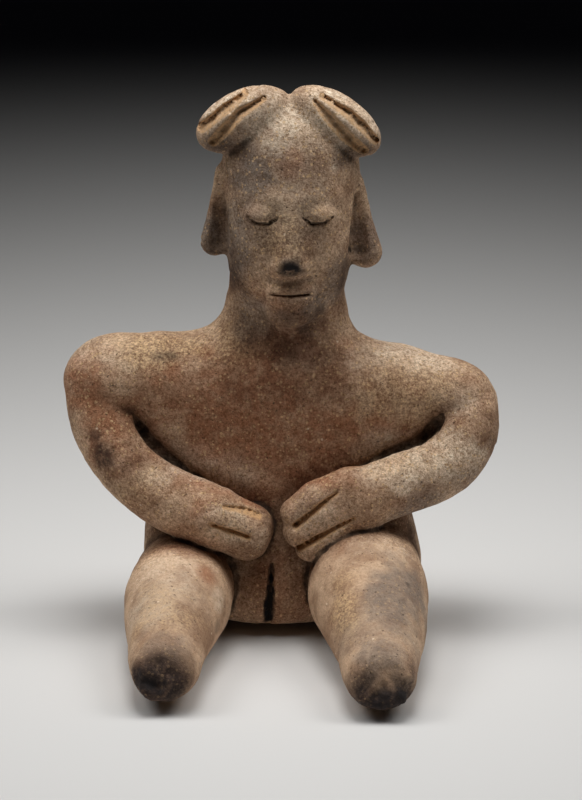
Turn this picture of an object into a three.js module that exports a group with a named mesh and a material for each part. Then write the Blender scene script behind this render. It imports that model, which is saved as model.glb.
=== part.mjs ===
// A seated figure of fired clay, modelled by hand as one solid piece.
// Millimetres, +Z up, and the figure faces -Y. The origin lies on the floor, under the middle of its outline.
// Every form is built around the trunk: y = 0 is the trunk's middle plane until the last step moves it.
import * as THREE from "three";
import { edgeTable, triTable } from "three/addons/objects/MarchingCubes.js";
import { SimplifyModifier } from "three/addons/modifiers/SimplifyModifier.js";

// Driving dimensions
const ORIGIN_IN_TRUNK = [-0.45, -30]; // x, y of the middle of the outline, in the trunk's frame
const HIP_HALF = 37;
const CHEST_HALF = 40.5;
const FRONT_Y = -15; // belly
const HEAD_X = 1.8; // the neck and head stand a little to one side
const CHIN_Z = 85;
const CROWN_Z = 145.5;
const TEMPLE_HALF = 18.2;
const ARM_R = 9.6;
const THIGH_R = 15.2;
const LEG_REACH = -72; // y of the leg ends

// Proportions of the face, a plain canon: eyes at half the head, nose ends a quarter of it above the chin
const HEAD_HEIGHT = CROWN_Z - CHIN_Z;
const EYE_Z = CHIN_Z + HEAD_HEIGHT / 2;
const NOSE_Z = CHIN_Z + HEAD_HEIGHT / 4;
const MOUTH_Z = CHIN_Z + HEAD_HEIGHT / 6;
const EYE_WIDTH = (2 * TEMPLE_HALF) / 5;

// Surface sampling
const CELL = 0.8;
const BLOCK = 4; // cells along one edge of a block that is skipped when no surface passes it
const TRIANGLES = 9600;
const SEAT_SLACK = 0.2; // corners closer to the ground than this lie on it

const { smoothstep, lerp, degToRad } = THREE.MathUtils;

// Forms. Each returns the distance to its surface at x, y, z, negative inside.
// A roll of clay through [x, y, z, radius] points. Depth under 1 flattens it from front to back.
function roll(points, depth = 1) {
  const pieces = points.slice(1).map(([bx, by, bz, br], i) => {
    const [ax, ay, az, ar] = points[i];
    const way = [bx - ax, (by - ay) / depth, bz - az];
    const length = Math.hypot(...way);
    const taper = (ar - br) / length;
    return [ax, ay, az, ar, br, ...way.map((v) => v / length), length, taper, Math.sqrt(1 - taper * taper)];
  });
  return (x, y, z) => {
    let nearest = Infinity;
    for (const [ax, ay, az, ar, br, ux, uy, uz, length, taper, flank] of pieces) {
      const [px, py, pz] = [x - ax, (y - ay) / depth, z - az];
      const along = px * ux + py * uy + pz * uz;
      const away = Math.sqrt(Math.max(px * px + py * py + pz * pz - along * along, 0));
      const side = flank * along - taper * away;
      let d = flank * away + taper * along - ar;
      if (side < 0) d = Math.sqrt(away * away + along * along) - ar;
      if (side > flank * length) d = Math.sqrt(away * away + (along - length) ** 2) - br;
      nearest = Math.min(nearest, d);
    }
    return nearest * depth;
  };
}

// A pellet of clay: centre, three radii, and its turn in the front plane in degrees.
function pellet([cx, cy, cz], [rx, ry, rz], turn = 0) {
  const [c, s] = [Math.cos(degToRad(turn)), Math.sin(degToRad(turn))];
  return (x, y, z) => {
    const [dx, dy, dz] = [x - cx, y - cy, z - cz];
    const u = (c * dx + s * dz) / rx;
    const v = dy / ry;
    const w = (c * dz - s * dx) / rz;
    const size = Math.sqrt(u * u + v * v + w * w);
    const slope = Math.sqrt((u / rx) ** 2 + (v / ry) ** 2 + (w / rz) ** 2);
    return slope < 1e-9 ? -Math.min(rx, ry, rz) : (size * (size - 1)) / slope;
  };
}

// A block with rounded edges: centre, half sizes, edge radius and its turn in the front plane.
function block([cx, cy, cz], [hx, hy, hz], round, turn = 0) {
  const [c, s] = [Math.cos(degToRad(turn)), Math.sin(degToRad(turn))];
  return (x, y, z) => {
    const [dx, dz] = [x - cx, z - cz];
    const qx = Math.abs(c * dx + s * dz) - hx + round;
    const qy = Math.abs(y - cy) - hy + round;
    const qz = Math.abs(c * dz - s * dx) - hz + round;
    const outside = Math.sqrt(Math.max(qx, 0) ** 2 + Math.max(qy, 0) ** 2 + Math.max(qz, 0) ** 2);
    return outside + Math.min(Math.max(qx, qy, qz), 0) - round;
  };
}

// Joins two distances with a fillet of size k.
function press(a, b, k) {
  const h = Math.max(k - Math.abs(a - b), 0) / k;
  return Math.min(a, b) - (h * h * k) / 4;
}

function joined(k, ...forms) {
  return (x, y, z) => forms.reduce((d, form) => press(d, form(x, y, z), k), Infinity);
}

// Far from its ball a form is not worked out, only the distance to the ball.
function near([cx, cy, cz], radius, form) {
  return (x, y, z) => {
    const away = Math.hypot(x - cx, y - cy, z - cz) - radius;
    return away > 12 ? away : form(x, y, z);
  };
}

// How deep x, z lies in a V-shaped stroke of [x, z, half width] points, seen from the front.
// Fill is 1 at the clay's surface and 0 at the stroke's bottom.
function stroke(points, x, z, fill) {
  let nearest = Infinity;
  for (let i = 1; i < points.length; i++) {
    const [ax, az, aw] = points[i - 1];
    const [bx, bz, bw] = points[i];
    const along = ((x - ax) * (bx - ax) + (z - az) * (bz - az)) / ((bx - ax) ** 2 + (bz - az) ** 2);
    const t = Math.min(1, Math.max(0, along));
    const away = Math.hypot(x - ax - t * (bx - ax), z - az - t * (bz - az));
    nearest = Math.min(nearest, away - fill * lerp(aw, bw, t));
  }
  return nearest;
}

// Cuts strokes with a stick into the front of the clay, each { path, depth, back }.
// A stroke fades out over the last few millimetres before y = back.
function incised(clay, strokes) {
  return (x, y, z) => {
    let d = clay(x, y, z);
    if (Math.abs(d) > 4) return d;
    for (const { path, depth, back } of strokes) {
      const force = smoothstep(back - y, 0, 3);
      if (force > 0) d = -press(-d, 0.8 * stroke(path, x, z, force * (1 + d / depth)) + 1 - force, 0.8);
    }
    return d;
  };
}

// Rubs off what reaches past a plane, given by a point on it and its direction.
function worn(form, [px, py, pz], [nx, ny, nz], k) {
  const length = Math.hypot(nx, ny, nz);
  return (x, y, z) => {
    const past = ((x - px) * nx + (y - py) * ny + (z - pz) * nz) / length;
    return -press(-form(x, y, z), -past, k);
  };
}

// A roll's points, smoothed along a spline
function curved(points, steps) {
  const path = new THREE.CatmullRomCurve3(points.map(([x, y, z]) => new THREE.Vector3(x, y, z)));
  return Array.from({ length: steps + 1 }, (_, i) => {
    const t = (i / steps) * (points.length - 1);
    const j = Math.min(Math.floor(t), points.length - 2);
    const p = path.getPoint(i / steps);
    return [p.x, p.y, p.z, lerp(points[j][3], points[j + 1][3], t - j)];
  });
}

// Trunk and neck
const seat = pellet([0, 3, 15.5], [HIP_HALF, 17, 18.5]);
const lap = block([0, -3.6, 14], [HIP_HALF - 3, 11.6, 17.5], 8);
const belly = pellet([-1, FRONT_Y + 15, 31], [32, 15, 26]);
const loins = block([-2, 0.5, 32], [34, 12.5, 20], 10);
const chest = block([-0.8, 0.5, 56], [CHEST_HALF, 12.5, 18], 9);
const shoulders = roll([
  [-43, 0, 69.2, 9.3],
  [-33, 0, 70, 9.8],
  [0, 0, 67, 11],
  [27, 0, 64.2, 10],
  [41, 0, 61.8, 9.6],
]);
const neck = roll([[0.5, 1, 66, 21], [0.5, 1.5, 80, 17.4], [0.7, 1.5, 90, 15.5], [1.2, 1, 104, 14.6]], 0.72);
const slit = {
  path: [[-3.1, 20.7, 0.4], [-3.5, 15, 1], [-3.9, 9.5, 1.8], [-4.1, 5.5, 1.6]],
  depth: 3,
  back: -8,
};
const crotch = pellet([-3, -11, 9.5], [16, 9.5, 9]);
const arch = block([-3, -14, 0], [15, 14, 3.6], 3.4); // free space under the crotch
const trunkClay = joined(8, joined(7, seat, lap, belly, loins, chest, crotch), joined(9, shoulders, neck));
const core = incised(trunkClay, [slit]);

// Legs, stubs without feet, worn blunt at the ends
const legPaths = [
  [
    [-25, -2, 15, 13],
    [-28.1, -28, 13.8, THIGH_R - 0.9],
    [-29.5, -48, 11.7, 11.2],
    [-30, LEG_REACH + 5, 10.6, 7.5],
  ],
  [
    [22, -2, 16, 14.4],
    [22.4, -28, 15.8, THIGH_R + 0.7],
    [24.4, -49, 12.7, 12.6],
    [24.6, LEG_REACH + 1, 10.2, 7.8],
  ],
];
const legEnds = [
  pellet([-30.4, LEG_REACH + 9, 10.3], [8.2, 17, 7.2]),
  pellet([24.6, LEG_REACH + 4, 9.6], [8.5, 17, 7.2]),
];
const legs = legPaths.map((path, side) => {
  const [x, y, z] = path[3];
  const stub = joined(5, roll(curved(path, 15)), legEnds[side]);
  return near([x, -37, 12], 47, worn(stub, [x, y - 7.9, z], [0, -1, 0.28], 1.8));
});

// Arms and hands. One hand is a mitten with two short slits, the other shows three broad fingers.
const armPaths = [
  [
    [-49, 0, 66, ARM_R],
    [-47.4, -4, 56.4, ARM_R],
    [-41.2, -9, 46.2, ARM_R - 0.3],
    [-30.3, -15, 38.2, ARM_R - 0.7],
    [-20.3, -19, 35, ARM_R - 1.4],
  ],
  [
    [47.8, 0, 59.8, ARM_R + 0.3],
    [47.8, -5, 53.4, ARM_R],
    [43, -9, 46.6, ARM_R - 0.3],
    [31, -14, 42.2, ARM_R - 1],
    [20.5, -17.5, 38.4, ARM_R - 1.5],
  ],
];
const mitten = block([-12.8, -19.4, 31.7], [10, 6.5, 7.6], 6.2, -24);
const palm = block([15.5, -18, 36.4], [8.5, 6.4, 7.9], 5.2, 28);
const digits = joined(0.8,
  roll([[17, -19, 43.2, 4.2], [8, -20.6, 40.4, 4.2], [3, -20.8, 36, 4.1]]),
  roll([[17, -19, 38.6, 4.4], [10, -20.8, 35.6, 4.4], [4.2, -21, 31, 4.4]]),
  roll([[18, -19.4, 33.8, 4.4], [12.4, -21, 30, 4.2], [7.2, -21.4, 26.6, 4.1]]));
const fingerSlits = [
  [
    { path: [[-15.7, 39.1, 0.5], [-10.1, 37.4, 0.6], [-6.5, 35.8, 0.6]], depth: 1.2, back: -18 },
    { path: [[-18.9, 34.9, 0.5], [-14.1, 32.7, 0.9], [-9.4, 31, 0.8]], depth: 2.2, back: -18 },
  ],
  [
    { path: [[3.3, 33.8, 0.9], [10.7, 40.2, 0.9], [14.2, 42.7, 0.4]], depth: 2.6, back: -18 },
    { path: [[4.1, 27.3, 0.9], [11.5, 31.8, 0.9], [18.7, 36, 0.4]], depth: 2.6, back: -18 },
  ],
];
const arms = [[mitten], [palm, digits]].map((hand, side) => {
  const limb = joined(3, roll(curved(armPaths[side], 16)), ...hand);
  return near([side ? 30 : -30, -10, 50], 42, incised(limb, fingerSlits[side]));
});

// Buns of hair, each a lobe with slits along it
const bunLobes = [
  pellet([-10.5, -2.5, 138.6], [13.4, 7.2, 7.8], 25),
  pellet([13.7, -2.5, 138.1], [13.6, 7.2, 7.3], -33),
];
const bunSlits = [
  [
    [[-9.7, 146.2, 0.4], [-15, 142.5, 0.9], [-21.6, 136.9, 0.8]],
    [[-5, 145.2, 0.4], [-11.3, 141.6, 1], [-16, 136.5, 1.1], [-18.4, 133.6, 0.9]],
  ],
  [
    [[8.2, 144.5, 0.5], [11.8, 140.5, 1.1], [16.3, 135.7, 1.2], [21, 131.2, 0.9]],
    [[10, 145.8, 0.4], [17, 141.3, 0.9], [21, 137.6, 0.9], [24.3, 133.5, 0.6]],
  ],
].map((paths) => paths.map((path) => ({ path, depth: 2.3, back: 1 })));
const buns = bunLobes.map((lobe, side) => incised(lobe, bunSlits[side]));

// Long ear flaps, hollow in front
const ears = [
  roll([[-16.2, -1, 124.5, 1.8], [-17.4, -2, 114, 2.6], [-18.3, -3.5, 106, 3.8]], 0.8),
  roll([[19.4, -1, 121.5, 1.8], [20.9, -2, 111, 2.8], [21.9, -3.5, 103.2, 4.3]], 0.8),
];
const earHollows = [
  roll([[-16.6, -4.4, 119, 0.9], [-17, -6.6, 106.6, 3.2]]),
  roll([[19.2, -3.8, 118, 1], [19.4, -6.8, 105, 3.2]]),
];

// Head, with closed lids, nose, lips and chin pressed on. The tip of the nose has broken away.
const skull = pellet([HEAD_X, 0, 124.6], [TEMPLE_HALF, 13.5, 19.6]);
const face = pellet([HEAD_X, -5, 107], [TEMPLE_HALF - 2, 12.5, 107 - CHIN_Z]);
const brows = [-1, 1].map((side) =>
  roll([[HEAD_X + side * 3.4, -14, EYE_Z + 4.6, 1.4], [HEAD_X + side * 11.5, -10.2, EYE_Z + 4.4, 1.2]]));
const wholeNose = joined(1.5,
  roll([[HEAD_X, -14.6, EYE_Z + 3, 1.9], [HEAD_X, -18.2, NOSE_Z + 3.2, 3]]),
  pellet([HEAD_X - 2.7, -16.8, NOSE_Z + 2], [1.7, 2.4, 1.8]),
  pellet([HEAD_X + 2.7, -16.8, NOSE_Z + 2], [1.7, 2.4, 1.8]));
const nose = worn(wholeNose, [HEAD_X, -20.2, NOSE_Z + 2.4], [0, -1, -0.7], 0.6);
const lips = [1, -1.1].map((up) => pellet([HEAD_X, -16.4, MOUTH_Z + up], [5.3, 1.9, 1.6]));
const chin = pellet([HEAD_X, -13.5, CHIN_Z + 5], [6.5, 4.5, 4.6]);
const eyes = [-1, 1].map((side) => HEAD_X + side * EYE_WIDTH);
const lids = eyes.map((x) => pellet([x, -13.6, EYE_Z + 0.3], [EYE_WIDTH / 2 + 0.9, 3.2, 2.7]));
const faceSlits = eyes.map((x) => ({
  path: [
    [x - 3.9, EYE_Z + 0.2, 0.3],
    [x - 1.8, EYE_Z - 1.4, 0.6],
    [x + 1.8, EYE_Z - 1.4, 0.6],
    [x + 3.9, EYE_Z + 0.2, 0.3],
  ],
  depth: 1.6,
  back: -8,
}));
faceSlits.push({
  path: [[HEAD_X - 4.8, MOUTH_Z, 0.4], [HEAD_X, MOUTH_Z - 0.2, 0.8], [HEAD_X + 4.8, MOUTH_Z, 0.4]],
  depth: 1.2,
  back: -8,
});
const bareHead = joined(1.8, joined(3, joined(7, skull, face), nose, chin, ...lips, ...brows), ...lids);
const dressedHead = joined(1.4, incised(bareHead, faceSlits), ...buns, ...ears);
const head = near([HEAD_X, -3, 115], 36, (x, y, z) => {
  let d = dressedHead(x, y, z);
  for (const hollow of earHollows) d = -press(-d, hollow(x, y, z), 1);
  return d;
});

// All of it pressed together and stood on a flat seat
const solid = (x, y, z) => {
  const trunk = core(x, y, z);
  let d = press(trunk, head(x, y, z), 5);
  const fillet = 1.2 + 9 * smoothstep(z, 57, 70);
  for (const arm of arms) {
    const limb = arm(x, y, z);
    d = press(d, limb, fillet);
    // The deep crevice that is left between the arm and the trunk
    const high = smoothstep(z, 28, 34) * smoothstep(-z, -61, -56);
    const open = 1.6 * high * smoothstep(Math.abs(x), 8, 34) * smoothstep(-y, 0, 4);
    if (open > 0) d = -press(-d, Math.hypot(limb, trunk) - open, 1.4);
  }
  for (const leg of legs) d = press(d, leg(x, y, z), 1.4);
  d = -press(-d, arch(x, y, z), 1.5);
  return Math.max(d, -z);
};

// Samples a field on a grid and returns its zero surface as an indexed geometry.
function surfaceOf(field, low, high, cell) {
  const [nx, ny, nz] = [0, 1, 2].map((i) => Math.ceil((high[i] - low[i]) / cell) + 1);
  const at = (i, j, k) => i + nx * (j + ny * k);
  const place = (i, j, k) => [low[0] + i * cell, low[1] + j * cell, low[2] + k * cell];
  const values = new Float32Array(nx * ny * nz);
  const reach = (BLOCK / 2 + 1) * cell * Math.sqrt(3) * 1.3;
  for (let k0 = 0; k0 < nz; k0 += BLOCK)
    for (let j0 = 0; j0 < ny; j0 += BLOCK)
      for (let i0 = 0; i0 < nx; i0 += BLOCK) {
        const middle = field(...place(i0 + BLOCK / 2, j0 + BLOCK / 2, k0 + BLOCK / 2));
        for (let k = k0; k < Math.min(k0 + BLOCK, nz); k++)
          for (let j = j0; j < Math.min(j0 + BLOCK, ny); j++)
            for (let i = i0; i < Math.min(i0 + BLOCK, nx); i++)
              values[at(i, j, k)] = Math.abs(middle) > reach ? middle : field(...place(i, j, k));
      }
  const corners = [[0, 0, 0], [1, 0, 0], [1, 1, 0], [0, 1, 0], [0, 0, 1], [1, 0, 1], [1, 1, 1], [0, 1, 1]];
  const edges = [
    [0, 1], [1, 2], [3, 2], [0, 3], [4, 5], [5, 6],
    [7, 6], [4, 7], [0, 4], [1, 5], [2, 6], [3, 7],
  ];
  const positions = [];
  const index = [];
  const known = new Map();
  const crossing = (i, j, k, edge) => {
    const [a, b] = edges[edge].map((c) => [i + corners[c][0], j + corners[c][1], k + corners[c][2]]);
    const key = at(...a) * 3 + b.findIndex((v, axis) => v !== a[axis]);
    if (!known.has(key)) {
      const [va, vb] = [values[at(...a)], values[at(...b)]];
      const [pa, pb] = [place(...a), place(...b)];
      known.set(key, positions.length / 3);
      positions.push(...pa.map((v, axis) => lerp(v, pb[axis], va / (va - vb))));
    }
    return known.get(key);
  };
  for (let k = 0; k < nz - 1; k++)
    for (let j = 0; j < ny - 1; j++)
      for (let i = 0; i < nx - 1; i++) {
        let kind = 0;
        corners.forEach(([a, b, c], bit) => {
          if (values[at(i + a, j + b, k + c)] < 0) kind |= 1 << bit;
        });
        for (let n = 16 * kind; triTable[n] !== -1; n += 3)
          index.push(...[0, 2, 1].map((m) => crossing(i, j, k, triTable[n + m])));
      }
  return new THREE.BufferGeometry()
    .setAttribute("position", new THREE.Float32BufferAttribute(positions, 3))
    .setIndex(index);
}

// Drops pairs of triangles that lie back to back on the same three corners, which thinning can leave.
function unfolded(geometry) {
  const triangles = [];
  for (let n = 0; n < geometry.index.count; n += 3)
    triangles.push([0, 1, 2].map((m) => geometry.index.getX(n + m)));
  const key = (triangle) => [...triangle].sort((a, b) => a - b).join();
  const times = new Map();
  for (const triangle of triangles) times.set(key(triangle), (times.get(key(triangle)) ?? 0) + 1);
  return geometry.setIndex(triangles.filter((triangle) => times.get(key(triangle)) === 1).flat());
}

// Lays the corners that thinning lifted a little off the ground back onto it, so that the seat is flat.
function seated(geometry) {
  const place = geometry.getAttribute("position");
  for (let n = 0; n < place.count; n++) if (place.getZ(n) < SEAT_SLACK) place.setZ(n, 0);
  return geometry;
}

const fine = surfaceOf(solid, [-63.5, -86.9, -2.6], [63.5, 25.5, 150.4], CELL);
const surplus = fine.getAttribute("position").count - TRIANGLES / 2;
const geometry = seated(unfolded(await new SimplifyModifier().modify(fine, surplus)));
geometry.translate(-ORIGIN_IN_TRUNK[0], -ORIGIN_IN_TRUNK[1], 0);

const figure = new THREE.Mesh(geometry, new THREE.MeshStandardMaterial({ color: 0x8a6f58, roughness: 0.9 }));
figure.name = "figure";
const group = new THREE.Group();
group.add(figure);
export default group;
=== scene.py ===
# The look of a seated figure of fired clay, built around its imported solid.
# The piece repeats the solid's forms from the same named sizes. It adds crisper strokes, a worn and
# sandy skin, and clay that was clouded by smoke in the firing.
# Forms are in millimetres in the trunk's frame, and Blender objects in metres in the figure's frame.
import math

import bpy
import numpy as np
import openvdb
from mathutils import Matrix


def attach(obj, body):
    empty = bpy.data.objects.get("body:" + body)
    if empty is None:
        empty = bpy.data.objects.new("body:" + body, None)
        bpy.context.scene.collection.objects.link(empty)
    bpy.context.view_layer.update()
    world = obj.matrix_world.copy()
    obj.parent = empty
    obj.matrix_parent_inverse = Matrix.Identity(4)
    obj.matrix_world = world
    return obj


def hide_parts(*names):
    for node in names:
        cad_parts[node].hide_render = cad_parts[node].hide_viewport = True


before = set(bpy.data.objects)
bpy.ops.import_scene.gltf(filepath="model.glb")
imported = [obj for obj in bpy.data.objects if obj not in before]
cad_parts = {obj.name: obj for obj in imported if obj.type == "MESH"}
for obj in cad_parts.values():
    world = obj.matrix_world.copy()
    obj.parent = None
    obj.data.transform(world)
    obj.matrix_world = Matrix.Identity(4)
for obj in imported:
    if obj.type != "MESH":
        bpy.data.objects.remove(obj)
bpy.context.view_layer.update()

# Driving dimensions, the same as the solid's
ORIGIN_IN_TRUNK = (-0.45, -30)  # x, y of the middle of the outline, in the trunk's frame
HIP_HALF = 37
CHEST_HALF = 40.5
FRONT_Y = -15  # belly
HEAD_X = 1.8  # the neck and head stand a little to one side
CHIN_Z = 85
CROWN_Z = 145.5
TEMPLE_HALF = 18.2
ARM_R = 9.6
THIGH_R = 15.2
LEG_REACH = -72  # y of the leg ends

# The face's plain canon: eyes at half the head, nose ends a quarter of it above the chin
HEAD_HEIGHT = CROWN_Z - CHIN_Z
EYE_Z = CHIN_Z + HEAD_HEIGHT / 2
NOSE_Z = CHIN_Z + HEAD_HEIGHT / 4
MOUTH_Z = CHIN_Z + HEAD_HEIGHT / 6
EYE_WIDTH = 2 * TEMPLE_HALF / 5

# Strokes in the hair, wider and shallower than the solid's
HAIR_WIDENING = 1.35
HAIR_DEPTH = 1.8
FAINT_DEPTH = 0.7

# Surface sampling
CELL = 0.84
BLOCK = 3  # cells along one edge of a block that is skipped when no surface passes it
BOX_LOW = np.array([-63, -86.5, -2.5])
BOX_COUNTS = (51, 44, 61)  # blocks along x, y and z
FINE_MARGIN = 2  # the finer mesh reaches this far past the edge of a stroke

# Unevenness of the skin and of its breaks, as (height, size, seed) of each random wave, in mm
SKIN_WAVES = ((0.3, 13, 11), (0.13, 4.5, 12), (0.07, 1.9, 13))
BREAK_WAVES = ((0.9, 2.4, 15), (0.35, 1.1, 18))
RIDGE_HEIGHT = 1.9
DENT_DEPTH = 0.25
CREVICE_ROUGHNESS = 0.3

# The random lattices stand askew, so that no pattern follows the axes
TURN = np.array([[0.36, 0.48, -0.8], [-0.8, 0.6, 0], [0.48, 0.64, 0.6]])
LATTICE_STRIDES = np.array([73856093, 19349663, 83492791])
SEED_STRIDE = 2654435761
SCRAMBLERS = ((15, 2246822519), (13, 3266489917))


def smoothstep(value, low, high):
    t = np.clip((value - low) / (high - low), 0, 1)
    return t * t * (3 - 2 * t)


# Makers of forms. A form takes points as rows of x, y, z and returns their distance to its surface,
# negative inside.
# A roll of clay through (x, y, z, radius) points. Depth under 1 flattens it from front to back.
def roll(points, depth=1.0):
    squash = np.array([1, 1 / depth, 1])
    pieces = []
    for start, end in zip(points, points[1:]):
        a = np.array(start[:3]) * squash
        way = np.array(end[:3]) * squash - a
        length = np.linalg.norm(way)
        taper = (start[3] - end[3]) / length
        pieces.append((a, way / length, length, start[3], end[3], taper, math.sqrt(1 - taper * taper)))

    def distance(p):
        nearest = np.full(len(p), np.inf)
        for a, unit, length, ar, br, taper, flank in pieces:
            v = p * squash - a
            along = v @ unit
            away = np.sqrt(np.maximum((v * v).sum(axis=1) - along * along, 0))
            side = flank * along - taper * away
            d = flank * away + taper * along - ar
            d = np.where(side < 0, np.hypot(away, along) - ar, d)
            d = np.where(side > flank * length, np.hypot(away, along - length) - br, d)
            nearest = np.minimum(nearest, d)
        return nearest * depth

    return distance


def turned(p, centre, turn):
    c, s = math.cos(math.radians(turn)), math.sin(math.radians(turn))
    v = p - np.array(centre)
    return np.stack([c * v[:, 0] + s * v[:, 2], v[:, 1], c * v[:, 2] - s * v[:, 0]], axis=1)


# A pellet of clay: centre, three radii, and its turn in the front plane in degrees.
def pellet(centre, radii, turn=0):
    def distance(p):
        v = turned(p, centre, turn) / np.array(radii)
        size = np.linalg.norm(v, axis=1)
        slope = np.linalg.norm(v / np.array(radii), axis=1)
        return np.where(slope < 1e-9, -min(radii), size * (size - 1) / np.maximum(slope, 1e-9))

    return distance


# A block with rounded edges: centre, half sizes, edge radius and its turn in the front plane.
def block(centre, half, edge, turn=0):
    def distance(p):
        q = np.abs(turned(p, centre, turn)) - np.array(half) + edge
        return np.linalg.norm(np.maximum(q, 0), axis=1) + np.minimum(q.max(axis=1), 0) - edge

    return distance


# Joins two distances with a fillet of size k.
def press(a, b, k):
    h = np.maximum(k - np.abs(a - b), 0) / k
    return np.minimum(a, b) - h * h * k / 4


def joined(k, *forms):
    def distance(p):
        d = forms[0](p)
        for form in forms[1:]:
            d = press(d, form(p), k)
        return d

    return distance


# Far from its ball a form is not worked out, only the distance to the ball.
def near(centre, radius, form):
    def distance(p):
        d = np.linalg.norm(p - np.array(centre), axis=1) - radius
        close = d <= 12
        d[close] = form(p[close])
        return d

    return distance


# How deep x, z lies in a V-shaped stroke of (x, z, half width) points, seen from the front.
def stroke(points, x, z, fill):
    nearest = np.full(len(x), np.inf)
    for (ax, az, aw), (bx, bz, bw) in zip(points, points[1:]):
        along = ((x - ax) * (bx - ax) + (z - az) * (bz - az)) / ((bx - ax) ** 2 + (bz - az) ** 2)
        t = np.clip(along, 0, 1)
        away = np.hypot(x - ax - t * (bx - ax), z - az - t * (bz - az))
        nearest = np.minimum(nearest, away - fill * (aw + (bw - aw) * t))
    return nearest


# Cuts strokes with a stick into the front of the clay, each (path, depth, back).
def incised(clay, strokes, edge=0.5):
    def distance(p):
        d = clay(p)
        for path, depth, back in strokes:
            close = np.flatnonzero((np.abs(d) < 4) & (p[:, 1] < back))
            x, y, z = p[close].T
            force = smoothstep(back - y, 0, 3)
            cut = 0.8 * stroke(path, x, z, force * (1 + d[close] / depth)) + 1 - force
            d[close] = -press(-d[close], cut, edge)
        return d

    return distance


# Rubs off what reaches past a plane, given by a point on it and its direction.
def worn(form, point, direction, k):
    unit = np.array(direction) / np.linalg.norm(direction)

    def distance(p):
        return -press(-form(p), -((p - np.array(point)) @ unit), k)

    return distance


# A roll's points, smoothed along a centripetal spline through them
def curved(points, steps):
    pts = np.array([p[:3] for p in points], float)
    first, last = 2 * pts[0] - pts[1], 2 * pts[-1] - pts[-2]
    pts = np.vstack([first, pts, last])
    out = []
    for i in range(steps + 1):
        t = i / steps * (len(points) - 1)
        j = min(int(t), len(points) - 2)
        w = t - j
        p0, p1, p2, p3 = pts[j:j + 4]
        d0, d1, d2 = (max(np.linalg.norm(b - a) ** 0.5, 1e-4) for a, b in ((p0, p1), (p1, p2), (p2, p3)))
        m1 = ((p1 - p0) / d0 - (p2 - p0) / (d0 + d1) + (p2 - p1) / d1) * d1
        m2 = ((p2 - p1) / d1 - (p3 - p1) / (d1 + d2) + (p3 - p2) / d2) * d1
        spot = p1 + m1 * w + (-3 * p1 + 3 * p2 - 2 * m1 - m2) * w**2 + (2 * p1 - 2 * p2 + m1 + m2) * w**3
        out.append((*spot, points[j][3] + (points[j + 1][3] - points[j][3]) * w))
    return out


# Trunk and neck
seat = pellet((0, 3, 15.5), (HIP_HALF, 17, 18.5))
lap = block((0, -3.6, 14), (HIP_HALF - 3, 11.6, 17.5), 8)
belly = pellet((-1, FRONT_Y + 15, 31), (32, 15, 26))
loins = block((-2, 0.5, 32), (34, 12.5, 20), 10)
chest = block((-0.8, 0.5, 56), (CHEST_HALF, 12.5, 18), 9)
shoulders = roll([
    (-43, 0, 69.2, 9.3),
    (-33, 0, 70, 9.8),
    (0, 0, 67, 11),
    (27, 0, 64.2, 10),
    (41, 0, 61.8, 9.6),
])
neck = roll([(0.5, 1, 66, 21), (0.5, 1.5, 80, 17.4), (0.7, 1.5, 90, 15.5), (1.2, 1, 104, 14.6)], 0.72)
crotch = pellet((-3, -11, 9.5), (16, 9.5, 9))
arch = block((-3, -14, 0), (15, 14, 3.6), 3.4)
slit = ([(-3.1, 20.7, 0.4), (-3.5, 15, 1), (-3.9, 9.5, 1.8), (-4.1, 5.5, 1.6)], 3, -8)
trunk_clay = joined(8, joined(7, seat, lap, belly, loins, chest, crotch), joined(9, shoulders, neck))
core = incised(trunk_clay, [slit])

# Legs, stubs without feet, worn blunt at the ends
leg_paths = [
    [
        (-25, -2, 15, 13),
        (-28.1, -28, 13.8, THIGH_R - 0.9),
        (-29.5, -48, 11.7, 11.2),
        (-30, LEG_REACH + 5, 10.6, 7.5),
    ],
    [
        (22, -2, 16, 14.4),
        (22.4, -28, 15.8, THIGH_R + 0.7),
        (24.4, -49, 12.7, 12.6),
        (24.6, LEG_REACH + 1, 10.2, 7.8),
    ],
]
leg_ends = [
    pellet((-30.4, LEG_REACH + 9, 10.3), (8.2, 17, 7.2)),
    pellet((24.6, LEG_REACH + 4, 9.6), (8.5, 17, 7.2)),
]
legs = []
for path, end in zip(leg_paths, leg_ends):
    x, y, z = path[3][:3]
    stub = joined(5, roll(curved(path, 15)), end)
    legs.append(near((x, -37, 12), 47, worn(stub, (x, y - 7.9, z), (0, -1, 0.28), 1.8)))

# Arms and hands. One hand is a mitten with two short slits, the other shows three broad fingers.
arm_paths = [
    [
        (-49, 0, 66, ARM_R),
        (-47.4, -4, 56.4, ARM_R),
        (-41.2, -9, 46.2, ARM_R - 0.3),
        (-30.3, -15, 38.2, ARM_R - 0.7),
        (-20.3, -19, 35, ARM_R - 1.4),
    ],
    [
        (47.8, 0, 59.8, ARM_R + 0.3),
        (47.8, -5, 53.4, ARM_R),
        (43, -9, 46.6, ARM_R - 0.3),
        (31, -14, 42.2, ARM_R - 1),
        (20.5, -17.5, 38.4, ARM_R - 1.5),
    ],
]
mitten = block((-12.8, -19.4, 31.7), (10, 6.5, 7.6), 6.2, -24)
palm = block((15.5, -18, 36.4), (8.5, 6.4, 7.9), 5.2, 28)
digits = joined(
    0.8,
    roll([(17, -19, 43.2, 4.2), (8, -20.6, 40.4, 4.2), (3, -20.8, 36, 4.1)]),
    roll([(17, -19, 38.6, 4.4), (10, -20.8, 35.6, 4.4), (4.2, -21, 31, 4.4)]),
    roll([(18, -19.4, 33.8, 4.4), (12.4, -21, 30, 4.2), (7.2, -21.4, 26.6, 4.1)]),
)
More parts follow.
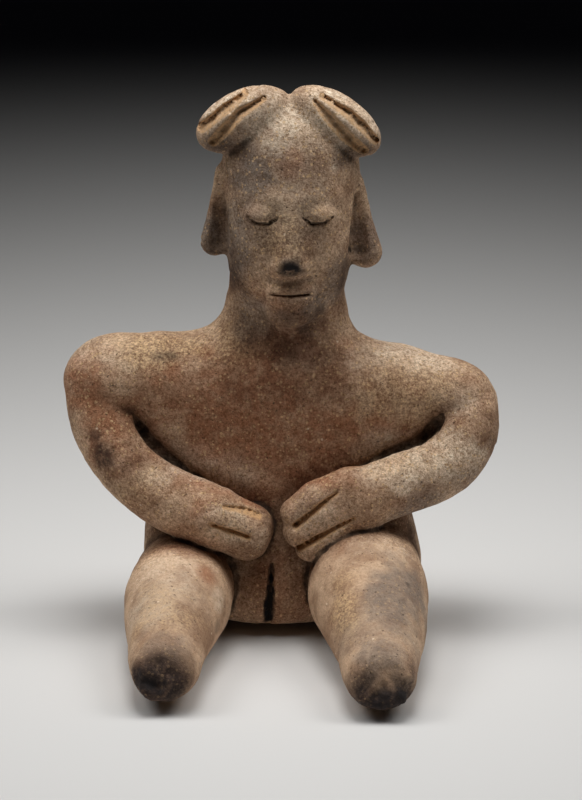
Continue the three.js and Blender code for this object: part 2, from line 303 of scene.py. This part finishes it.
finger_slits = [
    [
        ([(-15.7, 39.1, 0.5), (-10.1, 37.4, 0.6), (-6.5, 35.8, 0.6)], 1.2, -18),
        ([(-18.9, 34.9, 0.5), (-14.1, 32.7, 0.9), (-9.4, 31, 0.8)], 2.2, -18),
    ],
    [
        ([(3.3, 33.8, 0.9), (10.7, 40.2, 0.9), (14.2, 42.7, 0.4)], 2.6, -18),
        ([(4.1, 27.3, 0.9), (11.5, 31.8, 0.9), (18.7, 36, 0.4)], 2.6, -18),
    ],
]
hand_strokes = finger_slits[0] + finger_slits[1]
arms = []
for side, hand in enumerate(([mitten], [palm, digits])):
    limb = joined(3, roll(curved(arm_paths[side], 16)), *hand)
    arms.append(near((30 if side else -30, -10, 50), 42, incised(limb, finger_slits[side])))

# Buns of hair, each a lobe with slits along it. A third slit in one bun is faint.
bun_lobes = [
    pellet((-10.5, -2.5, 138.6), (13.4, 7.2, 7.8), 25),
    pellet((13.7, -2.5, 138.1), (13.6, 7.2, 7.3), -33),
]
bun_slits = [
    [
        [(-9.7, 146.2, 0.4), (-15, 142.5, 0.9), (-21.6, 136.9, 0.8)],
        [(-5, 145.2, 0.4), (-11.3, 141.6, 1), (-16, 136.5, 1.1), (-18.4, 133.6, 0.9)],
    ],
    [
        [(8.2, 144.5, 0.5), (11.8, 140.5, 1.1), (16.3, 135.7, 1.2), (21, 131.2, 0.9)],
        [(10, 145.8, 0.4), (17, 141.3, 0.9), (21, 137.6, 0.9), (24.3, 133.5, 0.6)],
    ],
]
faint_slit = [(13.3, 145.6, 0.3), (18.8, 143.1, 0.5), (22.5, 139.4, 0.5), (24.3, 136.7, 0.3)]
hair_strokes = [
    ([(x, z, HAIR_WIDENING * half_width) for x, z, half_width in path], HAIR_DEPTH, 1)
    for paths in bun_slits
    for path in paths
]
buns = [incised(bun_lobes[0], hair_strokes[:2]), incised(bun_lobes[1], hair_strokes[2:])]
buns[1] = incised(buns[1], [(faint_slit, FAINT_DEPTH, 1)])

# Long ear flaps, hollow in front
ears = [
    roll([(-16.2, -1, 124.5, 1.8), (-17.4, -2, 114, 2.6), (-18.3, -3.5, 106, 3.8)], 0.8),
    roll([(19.4, -1, 121.5, 1.8), (20.9, -2, 111, 2.8), (21.9, -3.5, 103.2, 4.3)], 0.8),
]
ear_hollows = [
    roll([(-16.6, -4.4, 119, 0.9), (-17, -6.6, 106.6, 3.2)]),
    roll([(19.2, -3.8, 118, 1), (19.4, -6.8, 105, 3.2)]),
]

# Head, with closed lids, nose, lips and chin pressed on. The tip of the nose has broken away.
skull = pellet((HEAD_X, 0, 124.6), (TEMPLE_HALF, 13.5, 19.6))
face = pellet((HEAD_X, -5, 107), (TEMPLE_HALF - 2, 12.5, 107 - CHIN_Z))
brows = [
    roll([(HEAD_X + side * 3.4, -14, EYE_Z + 4.6, 1.4), (HEAD_X + side * 11.5, -10.2, EYE_Z + 4.4, 1.2)])
    for side in (-1, 1)
]
nose = joined(
    1.5,
    roll([(HEAD_X, -14.6, EYE_Z + 3, 1.9), (HEAD_X, -18.2, NOSE_Z + 3.2, 3)]),
    pellet((HEAD_X - 2.7, -16.8, NOSE_Z + 2), (1.7, 2.4, 1.8)),
    pellet((HEAD_X + 2.7, -16.8, NOSE_Z + 2), (1.7, 2.4, 1.8)),
)
nose = worn(nose, (HEAD_X, -20.2, NOSE_Z + 2.4), (0, -1, -0.7), 0.6)
lips = [pellet((HEAD_X, -16.4, MOUTH_Z + up), (5.3, 1.9, 1.6)) for up in (1, -1.1)]
chin = pellet((HEAD_X, -13.5, CHIN_Z + 5), (6.5, 4.5, 4.6))
eyes = [HEAD_X - EYE_WIDTH, HEAD_X + EYE_WIDTH]
lids = [pellet((x, -13.6, EYE_Z + 0.3), (EYE_WIDTH / 2 + 0.9, 3.2, 2.7)) for x in eyes]
lid_edges = [
    [
        (x - 3.9, EYE_Z + 0.2, 0.3),
        (x - 1.8, EYE_Z - 1.4, 0.6),
        (x + 1.8, EYE_Z - 1.4, 0.6),
        (x + 3.9, EYE_Z + 0.2, 0.3),
    ]
    for x in eyes
]
mouth_edge = [(HEAD_X - 4.8, MOUTH_Z, 0.4), (HEAD_X, MOUTH_Z - 0.2, 0.8), (HEAD_X + 4.8, MOUTH_Z, 0.4)]
face_slits = [*((path, 1.6, -8) for path in lid_edges), (mouth_edge, 1.2, -8)]
bare_head = joined(1.8, joined(3, joined(7, skull, face), nose, chin, *lips, *brows), *lids)
dressed_head = joined(1.4, incised(bare_head, face_slits), *buns, *ears)


def hollowed_head(p):
    d = dressed_head(p)
    for hollow in ear_hollows:
        d = -press(-d, hollow(p), 1)
    return d


head = near((HEAD_X, -3, 115), 36, hollowed_head)


# All of it pressed together and stood on a flat seat
def solid(p):
    x, y, z = p.T
    trunk = core(p)
    d = press(trunk, head(p), 5)
    fillet = 1.2 + 9 * smoothstep(z, 57, 70)
    for arm in arms:
        limb = arm(p)
        d = press(d, limb, fillet)
        # The deep crevice that is left between the arm and the trunk
        high = smoothstep(z, 28, 34) * smoothstep(-z, -61, -56)
        gap = 1.6 * high * smoothstep(np.abs(x), 8, 34) * smoothstep(-y, 0, 4)
        crevice = -press(-d, np.hypot(limb, trunk) - gap, 1.4)
        d = np.where(gap > 0, crevice, d)
    for leg in legs:
        d = press(d, leg(p), 1.4)
    d = -press(-d, arch(p), 1.5)
    return np.maximum(d, -z)


# Surface of the field as a mesh of quads, sampled only in blocks that the surface can pass
def surface_of(field):
    blocks = np.argwhere(np.ones(BOX_COUNTS))
    middle = field(BOX_LOW + (blocks * BLOCK + (BLOCK - 1) / 2) * CELL).reshape(BOX_COUNTS)
    reach = (BLOCK / 2 + 1) * CELL * math.sqrt(3) * 1.3
    values = middle.repeat(BLOCK, axis=0).repeat(BLOCK, axis=1).repeat(BLOCK, axis=2)
    wanted = np.abs(values) < reach
    places = np.argwhere(wanted)
    values[wanted] = field(BOX_LOW + places * CELL)
    band = 2.5 * CELL
    grid = openvdb.FloatGrid(background=band)
    grid.copyFromArray(np.clip(values, -band, band).astype(np.float32))
    points, quads = grid.convertToQuads(isovalue=0.0)
    return BOX_LOW + points.astype(float) * CELL, quads.astype(np.int64)


def slope_of(field, p, step=0.05):
    slopes = [(field(p + step * axis) - field(p - step * axis)) / (2 * step) for axis in np.eye(3)]
    return np.stack(slopes, axis=1)


# Moves points onto the surface, a short step in each round
def settled(field, p, rounds=3, most=0.5, flattest=0.15):
    for _ in range(rounds):
        slope = slope_of(field, p)
        steep = np.maximum((slope * slope).sum(axis=1), flattest)
        p = p - slope * (np.clip(field(p), -most, most) / steep)[:, None]
    return p


# Smooth random values from -1 to 1, with one lattice point every size mm
def noise(p, size, seed):
    q = p @ TURN / size + 512
    cell = np.floor(q).astype(np.int64)
    f = q - cell
    f = f * f * (3 - 2 * f)
    total = np.zeros(len(p))
    for corner in range(8):
        step = np.array([corner & 1, corner >> 1 & 1, corner >> 2 & 1])
        weight = np.where(step, f, 1 - f).prod(axis=1)
        h = (cell + step) @ LATTICE_STRIDES + seed * SEED_STRIDE
        for shift, factor in SCRAMBLERS:
            h = ((h ^ (h >> shift)) * factor) & 0xFFFFFFFF
        total += weight * ((h ^ (h >> 16)) / 0x7FFFFFFF - 1)
    return total


def waves(p, heights_sizes_seeds):
    return sum(height * noise(p, size, seed) for height, size, seed in heights_sizes_seeds)


# A patch around a place, 1 in its middle, with a ragged edge. Radii are along x, y and z.
def patch(p, place, radii, ragged=0.35, seed=1):
    away = np.linalg.norm((p - np.array(place)) / np.array(radii), axis=1)
    away = away + ragged * (noise(p, 7, seed) + 0.6 * noise(p, 2.6, seed + 1))
    return 1 - smoothstep(away, 0.35, 1.15)


# Patches of (place, radii, strength), the strongest one at each point. Each has random seeds of its own.
def patches(p, spots, seed):
    total = np.zeros(len(p))
    for n, (place, radii, strength) in enumerate(spots):
        total = np.maximum(total, strength * patch(p, place, radii, seed=seed + 3 * n))
    return total


# Cuts chosen quads in four. Their neighbours take the new corners in, so that the surface stays closed.
def refined(points, quads, chosen):
    def sides(faces):
        return np.sort(np.stack([faces, np.roll(faces, -1, axis=1)], axis=2), axis=2)

    count = len(points)
    keys = sides(quads) @ np.array([count, 1])
    cut, place = np.unique(keys[chosen], return_inverse=True)
    middles = (points[cut // count] + points[cut % count]) / 2
    hubs = points[quads[chosen]].mean(axis=1)
    middle = count + place.reshape(-1, 4)
    hub = count + len(middles) + np.arange(len(hubs))
    faces = [
        np.stack([quads[chosen][:, n], middle[:, n], hub, middle[:, n - 1]], axis=1)
        for n in range(4)
    ]
    touched = np.isin(keys, cut).any(axis=1) & ~chosen
    faces = np.concatenate([*faces, quads[~chosen & ~touched]]).tolist()
    for quad, row in zip(quads[touched], keys[touched]):
        face = []
        for corner, key in zip(quad.tolist(), row.tolist()):
            face.append(corner)
            n = int(np.searchsorted(cut, key))
            if n < len(cut) and cut[n] == key:
                face.append(count + n)
        faces.append(face)
    return np.concatenate([points, middles, hubs]), faces


# The strokes, the nose and the broken leg ends take a finer mesh
def finely_worked(p):
    x, y, z = p.T
    leg_end = (y < LEG_REACH - 1) & (z < 17)
    nose_tip = np.linalg.norm(p - np.array([HEAD_X, -19, NOSE_Z + 2]), axis=1) < 6
    chosen = leg_end | nose_tip
    for path, _, back in (*hair_strokes, *hand_strokes, *face_slits, slit):
        chosen |= (stroke(path, x, z, 1) < FINE_MARGIN) & (y < back)
    return chosen


points, quads = surface_of(solid)
points = settled(solid, points)
points, faces = refined(points, quads, finely_worked(points[quads].mean(axis=1)))
points = settled(solid, points, 2)
edges = np.array([(a, b) for face in faces for a, b in zip(face, face[1:] + face[:1])])
edges = np.unique(np.sort(edges, axis=1), axis=0)
degree = np.bincount(edges.ravel(), minlength=len(points))


# Each point's value, averaged with its neighbours' again and again
def spread(values, rounds):
    for _ in range(rounds):
        total = np.stack([
            np.bincount(edges[:, 0], column[edges[:, 1]], len(points))
            + np.bincount(edges[:, 1], column[edges[:, 0]], len(points))
            for column in values.T
        ], axis=1)
        values = 0.5 * values + 0.5 * total / degree[:, None]
    return values


# How far a point lies below the ground around it, in mm
slopes = slope_of(solid, points)
outward = slopes / np.linalg.norm(slopes, axis=1)[:, None]
hollow = ((spread(points, 8) - points) * outward).sum(axis=1)


# Runs from 0, a millimetre outside the edge of a stroke, to 1, a millimetre inside it
def grooved(p, strokes, back):
    x, y, z = p.T
    inside = np.max([-stroke(path, x, z, 1) for path, *_ in strokes], axis=0)
    return np.clip((inside + 1) / 2, 0, 1) * (y < back)


groove = np.maximum(
    grooved(points, hair_strokes, 1) * (points[:, 2] > 128),
    grooved(points, hand_strokes, -17),
)

# Painted shadow blackens the inside of the slit, with a ragged edge
slit_path, _, slit_back = slit
slit_shade = -stroke(slit_path, points[:, 0], points[:, 2], 1)
slit_shade = smoothstep(slit_shade + 0.4 * noise(points, 1.3, 19), -0.1, 0.7)
slit_shade *= (points[:, 1] < slit_back) & (points[:, 1] > -22)

# Where the clay has broken away, at the leg ends and the tip of the nose
broken = np.maximum.reduce([
    patch(points, (-31, -80, 8), (14, 9, 9.5), 0.2, 40),
    patch(points, (26, -84, 8), (14, 9, 9.5), 0.2, 43),
    patch(points, (HEAD_X, -20, NOSE_Z + 2), (4, 4, 4), 0.1, 46),
])
ridges = 0.35 - np.abs(noise(points, 5, 14))
burnt = broken * smoothstep(ridges, 0.3, 0.05) * (points[:, 1] < -60)

# Worn and uneven skin: broken clay in ridges, shallow dents, and rough crevices
relief = waves(points, SKIN_WAVES)
relief += broken * (RIDGE_HEIGHT * ridges + waves(points, BREAK_WAVES) - 0.1)
relief -= DENT_DEPTH * smoothstep(noise(points, 2.4, 16), 0.45, 0.8)
relief += CREVICE_ROUGHNESS * smoothstep(hollow, 0.1, 0.6) * (1 - 0.8 * groove) * noise(points, 1.7, 17)
points = points + outward * relief[:, None]
points[:, 2] = np.maximum(points[:, 2], 0)

# Painted shade on the trunk beside each arm, in the gully that the arm leaves
shade_beside_arm = np.zeros(len(points))
for arm in arms:
    away = arm(points)
    shade_beside_arm = np.maximum(shade_beside_arm, (1 - smoothstep(away, 1, 8)) * smoothstep(away, 0.1, 0.6))
shade_beside_arm *= smoothstep(-points[:, 1], 4, 8) * smoothstep(-points[:, 2], -66, -58)

# Dirt and painted shade lie in the hollows of the body, less in those of the ears, and not on the crown
on_ear = (np.abs(points[:, 0] - HEAD_X) > 16) & (points[:, 2] > 92)
sheltered = (1 - 0.55 * on_ear) * smoothstep(-points[:, 2], -141, -134)

# The legs are rubbed smooth, and the sand stands out on the rest
gritty = 1.2 - 0.75 * smoothstep(-points[:, 1], 26, 34)

# Stains, painted shade and painted highlights, each with its random seed and its patches as (place, radii,
# strength)
STAIN_AND_LIGHT_PATCHES = {
    "smoke": (60, [
        ((HEAD_X - 3, -8, 118), (18, 20, 20), 0.5),
        ((-9, -12, 126), (10, 12, 9), 0.95),
        ((-13, -10, 106), (8, 10, 18), 0.9),
        ((-20, -5, 108), (5, 8, 10), 0.9),
        ((22, -5, 106), (5, 8, 8), 0.6),
        ((15, -10, 97), (7, 9, 11), 0.8),
        ((-16, -6, 133), (8, 8, 5), 0.9),
        ((18, -8, 131), (8, 8, 5), 0.8),
        ((6, -13, 89), (13, 9, 8), 0.9),
        ((-9, -10, 88), (8, 9, 9), 0.7),
        ((5, -12, 78), (8, 8, 5), 0.3),
        ((38, -20, 37), (14, 8, 6), 0.8),
        ((50, -12, 43), (8, 12, 7), 0.6),
        ((29, -52, 22), (12, 26, 15), 0.9),
        ((24, -64, 18), (13, 16, 12), 0.5),
        ((-30, -56, 20), (14, 18, 12), 0.3),
        ((-29, -70, 17), (11, 7, 5), 0.6),
        ((25, -76, 17), (11, 7, 5), 0.8),
        ((10, 15, 60), (30, 12, 22), 0.7),
    ]),
    "soot_and_shade": (110, [
        ((HEAD_X, -20.5, NOSE_Z + 2.2), (4.6, 4.6, 4.4), 1),
        ((-48, -16, 50), (4, 6, 4.5), 0.75),
        ((-50, -14, 55), (2.6, 4, 3), 0.6),
        ((32.2, -44.4, 23.8), (1.2, 1.2, 1.4), 0.8),
        ((-17.2, -43.5, 12.6), (2.4, 3, 1.8), 0.35),
        ((-31, -9.5, 76), (5, 3, 1.6), 0.6),
        ((26, -80, 6), (8, 7, 6), 0.8),
    ]),
    "char": (130, [
        ((-32, -80, 5), (22, 15, 11), 1),
        ((25.5, -84, 5), (22, 15, 11), 1),
    ]),
    "iron": (150, [
        ((-52, -8, 69), (9, 9, 11), 0.9),
        ((-47, -13, 57), (9, 9, 12), 0.9),
        ((-5, -15, 60), (46, 16, 33), 0.9),
        ((-18, -26, 38), (10, 6, 6), 0.7),
        ((-8, -26, 35), (6, 5, 5), 0.8),
        ((7, -24, 41), (6, 5, 5), 0.8),
        ((-20, -36, 23), (5, 6, 4), 0.8),
        ((-24, -24, 28), (10, 8, 5), 0.7),
        ((2, -13, 130), (5, 6, 6), 0.6),
        ((18, -28, 24), (8, 10, 8), 0.5),
        ((0, -16, 14), (16, 6, 14), 0.6),
        ((48, -8, 62), (12, 10, 12), 0.35),
        ((-20, 14, 45), (20, 12, 25), 0.6),
    ]),
    "earth": (200, [
        ((-33, -5, 77), (13, 10, 6), 0.9),
        ((-14, -9, 81), (10, 9, 8), 0.5),
        ((0, -17, 111), (9, 8, 9), 0.7),
        ((8, -17, 116), (6, 5, 5), 0.5),
        ((16, -54, 20), (4, 17, 9), 1),
        ((-30, -52, 19), (11, 14, 9), 0.7),
        ((-36, -14, 42), (12, 8, 7), 0.5),
        ((30, -10, 66), (18, 10, 9), 0.5),
        ((30, -16, 47), (16, 6, 5), 0.5),
        ((-12, -26, 36), (9, 6, 8), 0.5),
        ((16, 14, 90), (12, 10, 14), 0.5),
    ]),
    # Pale chalk spots, and painted highlights on the tops of the thighs, legs, forearms, shoulders, crown
    # and buns
    "chalk_and_highlight": (240, [
        ((-17.4, -39.2, 18.3), (3, 5, 3.4), 0.9),
        ((-30, -40, 26), (14, 16, 10), 0.5),
        ((-34, -52, 20), (8, 14, 8), 0.5),
        ((26, -30, 31), (14, 12, 6), 0.3),
        ((-26, -14, 45), (20, 8, 8), 0.6),
        ((32, -14, 50), (20, 8, 6), 0.9),
        ((46, -6, 62), (8, 9, 8), 0.5),
        ((46, -13, 52), (8, 7, 7), 1),
        ((32, -20, 48), (17, 8, 6), 1),
        ((-12, -26, 34), (11, 6, 8), 0.7),
        ((10, -26, 37), (9, 6, 8), 0.5),
        ((-46, 2, 74), (18, 12, 6), 0.7),
        ((30, 0, 74), (22, 12, 6), 0.7),
        ((HEAD_X, -5, 139), (15, 13, 11), 1),
        ((-13, -4, 141), (14, 12, 9), 1),
        ((16, -4, 140), (14, 12, 9), 1),
        ((12.9, -10.9, 127.4), (1.4, 2, 1.4), 0.9),
    ]),
    # Painted shade under the chin and jaws, on the neck, chest and pelvis, in the left ear, on the arms, at
    # the hips under the arms, at the leg ends and under the buns
    "painted_shade": (280, [
        ((1, -10, 79), (16, 10, 10), 0.9),
        ((2, -13, 70), (22, 10, 9), 0.6),
        ((0, -16, 46), (24, 10, 14), 0.2),
        ((-16.6, -5, 108), (3, 6, 11), 0.8),
        ((-6, -17, 24), (14, 10, 7), 0.4),
        ((-16, -8, 95), (8, 10, 14), 1),
        ((-14, -9, 86), (7, 8, 7), 0.6),
        ((-41, -15, 46), (9, 8, 8), 0.9),
        ((55, -8, 55), (6, 8, 9), 0.6),
        ((17, -9, 96), (6, 9, 9), 0.9),
        ((3, -13, 87), (14, 8, 6), 0.8),
        ((-38, -10, 22), (8, 9, 8), 1),
        ((38, -10, 24), (8, 9, 8), 1),
        ((-30, -76, 9), (12, 8, 9), 0.5),
        ((26, -80, 8), (11, 7, 8), 0.5),
        ((-16, -8, 132), (8, 6, 3.4), 0.7),
        ((19, -8, 130), (8, 6, 3.4), 0.7),
    ]),
}
stains_and_painted_light = {name: patches(points, spots, seed) for name, (seed, spots) in STAIN_AND_LIGHT_PATCHES.items()}
# Painted shadow in the slit is laid with the soot
stains_and_painted_light["soot_and_shade"] = np.maximum(stains_and_painted_light["soot_and_shade"], np.maximum(slit_shade, burnt))
# Painted shade beside the arms
stains_and_painted_light["painted_shade"] = np.maximum(stains_and_painted_light["painted_shade"], 0.9 * shade_beside_arm)
stains_and_painted_light["gritty"] = gritty
stains_and_painted_light["groove"] = groove
# Depth of the hollows, where dirt and painted shade lie
stains_and_painted_light["hollow"] = np.clip(hollow / 0.35, -1, 1) * sheltered

# The visual piece
mesh = bpy.data.meshes.new("figure_clay")
mesh.from_pydata(((points - [*ORIGIN_IN_TRUNK, 0]) / 1000).tolist(), [], faces)
mesh.polygons.foreach_set("use_smooth", [True] * len(mesh.polygons))
for name, values in stains_and_painted_light.items():
    mesh.attributes.new(name, "FLOAT", "POINT").data.foreach_set("value", values.astype(np.float32))
clay = bpy.data.objects.new("figure_clay", mesh)
bpy.context.collection.objects.link(clay)
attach(clay, "root")
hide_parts("figure")
print("corners", len(points), "triangles", sum(len(face) - 2 for face in faces))

# Camera at the photograph's angle
AIM = (2.45, 30, 61)
TILT = 17  # degrees down
AWAY = 950
LENS = 159
SENSOR = 36
camera_data = bpy.data.cameras.new("camera")
camera_data.sensor_fit = "VERTICAL"
camera_data.sensor_height = SENSOR
camera_data.lens = LENS
camera_data.clip_start = 0.05
camera = bpy.data.objects.new("camera", camera_data)
back = AWAY * math.cos(math.radians(TILT))
up = AWAY * math.sin(math.radians(TILT))
camera.location = (AIM[0] / 1000, (AIM[1] - back) / 1000, (AIM[2] + up) / 1000)
camera.rotation_euler = (math.radians(90 - TILT), 0, 0)
bpy.context.collection.objects.link(camera)
bpy.context.scene.camera = camera

# Floor of pale matt paper, in metres
PAPER_COLOUR = (0.66, 0.66, 0.66, 1)
FLOOR_SIDE = 3
FLOOR_FRONT = -1.5
FLOOR_BACK = 4
floor_corners = [
    (-FLOOR_SIDE, FLOOR_FRONT, 0),
    (FLOOR_SIDE, FLOOR_FRONT, 0),
    (FLOOR_SIDE, FLOOR_BACK, 0),
    (-FLOOR_SIDE, FLOOR_BACK, 0),
]
floor_mesh = bpy.data.meshes.new("floor")
floor_mesh.from_pydata(floor_corners, [], [(0, 1, 2, 3)])
floor = bpy.data.objects.new("floor", floor_mesh)
bpy.context.collection.objects.link(floor)
paper = bpy.data.materials.new("paper")
paper.use_nodes = True
paper_surface = paper.node_tree.nodes["Principled BSDF"].inputs
paper_surface["Base Color"].default_value = PAPER_COLOUR
paper_surface["Roughness"].default_value = 0.9
paper_surface["Specular IOR Level"].default_value = 0.0
floor_mesh.materials.append(paper)


# An area light. Places and size are in metres, the spread angle in degrees and the power in watts.
def area_light(name, place, aim, size, spread_angle, power):
    data = bpy.data.lights.new(name, "AREA")
    data.shape = "RECTANGLE"
    data.size, data.size_y = size
    data.spread = math.radians(spread_angle)
    data.energy = power
    data.color = LIGHT_COLOUR
    lamp = bpy.data.objects.new(name, data)
    lamp.location = place
    way = np.array(aim) - np.array(place)
    flat = math.hypot(way[0], way[1])
    lamp.rotation_euler = (math.atan2(flat, -way[2]), 0, math.atan2(way[1], way[0]) - math.pi / 2)
    bpy.context.collection.objects.link(lamp)


# A bank of soft boxes over the figure, from side to side.
# Their narrow spread leaves the paper behind the figure in the dark.
LIGHT_COLOUR = (1, 0.985, 0.96)
area_light("soft_box", (0.0, 0.0, 0.8), (0.0, 0.0, 0.0), (0.9, 0.34), 54, 0.75)
for name, side in (("soft_box_left", -0.42), ("soft_box_right", 0.42)):
    area_light(name, (side, 0.0, 0.68), (0.0, 0.0, 0.03), (0.34, 0.9), 46, 0.38)

# A nearly black room
ROOM_COLOUR = (0.0015, 0.0015, 0.002, 1)
world = bpy.data.worlds.new("world")
world.use_nodes = True
world.node_tree.nodes["Background"].inputs["Color"].default_value = ROOM_COLOUR
world.node_tree.nodes["Background"].inputs["Strength"].default_value = 1.0
bpy.context.scene.world = world
bpy.context.scene.view_settings.view_transform = "Standard"


# A colour from its red, green and blue levels of 0 to 255 on a screen
def srgb(*levels):
    return tuple((v / 255 / 12.92 if v < 11 else ((v / 255 + 0.055) / 1.055) ** 2.4) for v in levels) + (1,)


# Builds a material node by node. Sizes are in millimetres on the piece.
class Shader:
    def __init__(self, name):
        self.material = bpy.data.materials.new(name)
        self.material.use_nodes = True
        self.tree = self.material.node_tree
        self.surface = self.tree.nodes["Principled BSDF"]
        place = self.add("ShaderNodeTexCoord").outputs["Object"]
        scaled = self.add("ShaderNodeVectorMath", {0: place, 1: (1000, 1000, 1000)}, operation="MULTIPLY")
        self.mm = scaled.outputs[0]

    def add(self, kind, inputs=(), **settings):
        made = self.tree.nodes.new(kind)
        for name, value in settings.items():
            setattr(made, name, value)
        for slot, value in dict(inputs).items():
            if isinstance(value, bpy.types.NodeSocket):
                self.tree.links.new(value, made.inputs[slot])
            else:
                made.inputs[slot].default_value = value
        return made

    def noise(self, size, detail=2, rough=0.5, shift=0):
        moved = self.add("ShaderNodeVectorMath", {0: self.mm, 1: (shift, 2 * shift, -shift)}).outputs[0]
        return self.add("ShaderNodeTexNoise", {
            "Vector": moved, "Scale": 1 / size, "Detail": detail, "Roughness": rough,
        }).outputs[0]

    def math(self, operation, a, b):
        return self.add("ShaderNodeMath", {0: a, 1: b}, operation=operation).outputs[0]

    def plus(self, a, b):
        return self.math("ADD", a, b)

    def times(self, a, b):
        return self.math("MULTIPLY", a, b)

    def ramp(self, value, low, high, to_low=0.0, to_high=1.0):
        return self.add("ShaderNodeMapRange", {
            "Value": value, "From Min": low, "From Max": high, "To Min": to_low, "To Max": to_high,
        }, interpolation_type="SMOOTHSTEP").outputs[0]

    def mix(self, share, a, b, blend="MIX"):
        inputs = {0: share, 6: a, 7: b}
        return self.add("ShaderNodeMix", inputs, data_type="RGBA", blend_type=blend).outputs[2]

    def painted(self, name):
        return self.add("ShaderNodeAttribute", attribute_name=name).outputs["Fac"]

    # Lays a tint over a colour where there is a stain, a painted highlight or painted shade. The share runs
    # from thin to thick as a cloud of noise runs from low to high.
    def tinted(self, colour, mask, tint, cloud, low, high, thin, thick, blend="MIX"):
        share = self.times(mask, self.ramp(cloud, low, high, thin, thick))
        return self.mix(share, colour, tint, blend)

    # Cells of sand: how near the middle of its cell a point is, in mm, and each cell's random numbers
    def cells(self, size):
        made = self.add("ShaderNodeTexVoronoi", {"Vector": self.mm, "Scale": 1 / size})
        numbers = self.add("ShaderNodeSeparateColor", {0: made.outputs["Color"]}).outputs
        return self.times(made.outputs["Distance"], size), numbers


# Fired clay: sandy, mottled, clouded by smoke, with earth and dirt left in the hollows, painted shade and
# painted highlights
TAN = srgb(208, 176, 146)
BROWN = srgb(162, 128, 101)
IRON = srgb(160, 108, 77)
SMOKE = srgb(119, 109, 101)
# Black of soot and of painted shadow
SOOT_AND_SHADE = srgb(30, 26, 27)
CHAR = srgb(68, 53, 49)
EARTH = srgb(214, 179, 136)
SILT = srgb(206, 163, 115)
# Pale chalk, also the colour of the painted highlights
CHALK_AND_HIGHLIGHT = srgb(236, 215, 190)
# Dark of dirt and of painted shade
DIRT_AND_SHADE = srgb(44, 31, 22)
# Tint of the painted shade, multiplied into the colour
SHADE_TINT = srgb(150, 132, 118)
GRAIN_SPACING = 1.0
FLECK_SPACING = 3.2
BUMP_HEIGHT = 0.00025  # metres

look = Shader("fired_clay")
painted = {name: look.painted(name) for name in stains_and_painted_light}
broad = look.noise(11, 3, 0.6, 3)
middling = look.noise(3, 3, 0.6, 7)
fine = look.noise(0.9, 3, 0.7, 11)
grit = look.noise(0.45, 2, 0.7, 17)
colour = look.mix(look.ramp(broad, 0.35, 0.65), TAN, BROWN)
# Stains, and painted highlights that share the chalk's patches
for name, tint, cloud, low, high, thin, thick in (
    ("iron", IRON, middling, 0.3, 0.6, 0.5, 1),
    ("chalk_and_highlight", CHALK_AND_HIGHLIGHT, middling, 0.4, 0.7, 0.4, 1),
    ("earth", EARTH, fine, 0.42, 0.58, 0.1, 0.8),
    ("smoke", SMOKE, middling, 0.3, 0.65, 0.6, 0.85),
    ("char", CHAR, fine, 0.35, 0.7, 1, 0.75),
):
    colour = look.tinted(colour, painted[name], tint, cloud, low, high, thin, thick)

# Sand: pale grains of random size, a few larger flecks, and small pits of no regular shape
near_grain, grain_numbers = look.cells(GRAIN_SPACING)
grain_size = look.ramp(grain_numbers[1], 0, 1, 0.12, 0.42)
grain = look.math("LESS_THAN", near_grain, grain_size)
grain = look.times(grain, look.ramp(grain_numbers[0], 0.4, 0.45))
colour = look.mix(look.times(grain, look.times(painted["gritty"], 0.55)), colour, EARTH)
near_fleck, fleck_numbers = look.cells(FLECK_SPACING)
fleck = look.times(look.ramp(near_fleck, 0.25, 0.4, 1, 0), look.ramp(fleck_numbers[2], 0.86, 0.88))
colour = look.mix(look.times(fleck, 0.7), colour, CHALK_AND_HIGHLIGHT)
pit = look.ramp(look.noise(0.8, 1, 0.5, 29), 0.33, 0.22)

# Speckle. Its red swings less than its blue, so that the dark specks are warm.
swing = look.plus(look.ramp(fine, 0.3, 0.7, -0.3, 0.28), look.ramp(grit, 0.3, 0.7, -0.24, 0.24))
swing = look.times(swing, painted["gritty"])
shades = [look.plus(look.times(swing, share), 1.0) for share in (0.85, 1, 1.15)]
speckle = look.add("ShaderNodeCombineColor", dict(enumerate(shades))).outputs[0]
colour = look.mix(1.0, colour, speckle, "MULTIPLY")
colour = look.mix(look.times(pit, 0.65), colour, DIRT_AND_SHADE)
# Painted shade darkens the colour by multiplying
colour = look.tinted(colour, painted["painted_shade"], SHADE_TINT, middling, 0.25, 0.6, 0.7, 1, "MULTIPLY")
# Soot, and painted shadow in the slit, blacken the clay
colour = look.tinted(colour, painted["soot_and_shade"], SOOT_AND_SHADE, middling, 0.35, 0.5, 0.6, 1)

# Dirt and painted shade lie in the hollows. In the grooves earth takes their place, with dirt and painted
# shade along the bottom.
hollow_dirt_and_shade = look.times(look.ramp(painted["hollow"], 0.1, 0.7), look.ramp(middling, 0.3, 0.7, 0.6, 1))
hollow_dirt_and_shade = look.times(hollow_dirt_and_shade, look.ramp(painted["groove"], 0, 0.3, 1, 0))
colour = look.mix(hollow_dirt_and_shade, colour, DIRT_AND_SHADE)
silted = look.times(look.ramp(painted["groove"], 0.3, 0.55), look.ramp(fine, 0.35, 0.6, 0.25, 0.85))
colour = look.mix(silted, colour, SILT)
bottom = look.times(look.ramp(painted["groove"], 0.75, 1), look.ramp(middling, 0.4, 0.58, 0.35, 0))
colour = look.mix(bottom, colour, DIRT_AND_SHADE)

# Grains stand out, pits sink in, and noise roughens the rest
height = look.plus(look.times(grain, 0.5), look.times(pit, -1.0))
height = look.plus(height, look.times(fine, 1.4))
height = look.plus(height, look.times(grit, 0.9))
bump = look.add("ShaderNodeBump", {"Height": height, "Strength": 0.8, "Distance": BUMP_HEIGHT})
look.tree.links.new(colour, look.surface.inputs["Base Color"])
look.tree.links.new(bump.outputs[0], look.surface.inputs["Normal"])
look.surface.inputs["Roughness"].default_value = 0.88
look.surface.inputs["Specular IOR Level"].default_value = 0.3
mesh.materials.append(look.material)

bpy.context.view_layer.update()
